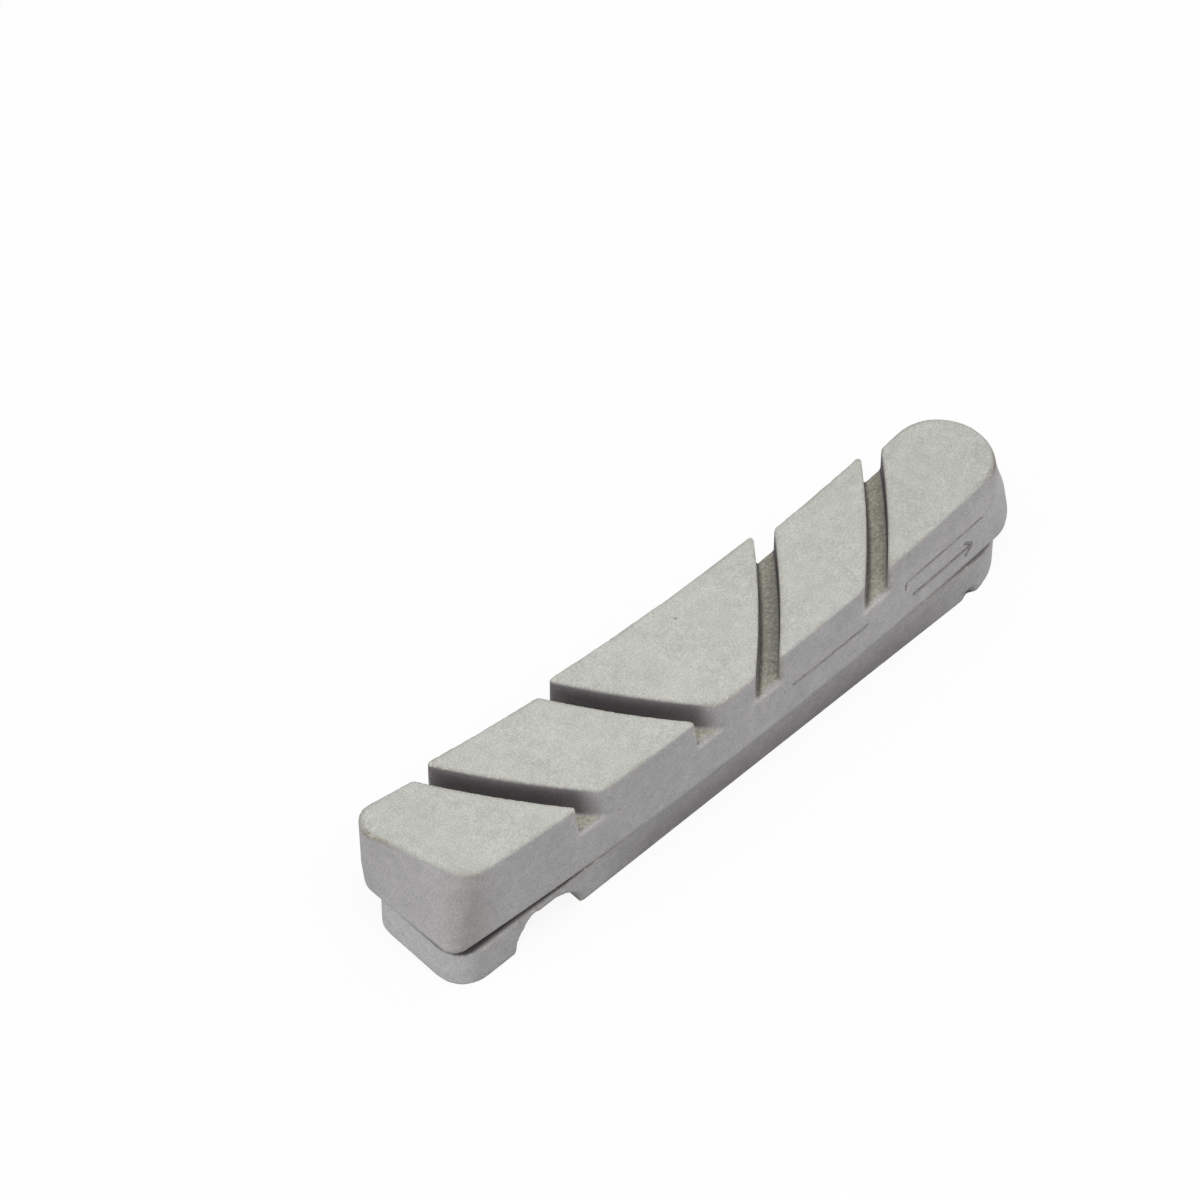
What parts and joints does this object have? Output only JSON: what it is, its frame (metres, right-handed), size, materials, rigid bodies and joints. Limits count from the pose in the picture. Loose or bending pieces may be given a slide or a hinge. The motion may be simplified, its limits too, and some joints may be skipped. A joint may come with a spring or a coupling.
{
  "type": "bicycle rim brake pad",
  "caption": "Curved rubber brake block with slanted water slots on a straight rail that slides into a brake shoe holder and locks by a notch.",
  "frame": {"origin": "centre of the rail's flat underside", "axes": "+X along the rail from the square end to the round end, +Y towards the concave side, +Z from the underside to the friction face"},
  "size_m": [0.0546, 0.0105, 0.0112],
  "materials": {
    "rubber": "matte, fine grained"
  },
  "bodies": {
    "root": {"brake_pad": "rubber"}
  },
  "joints": []
}
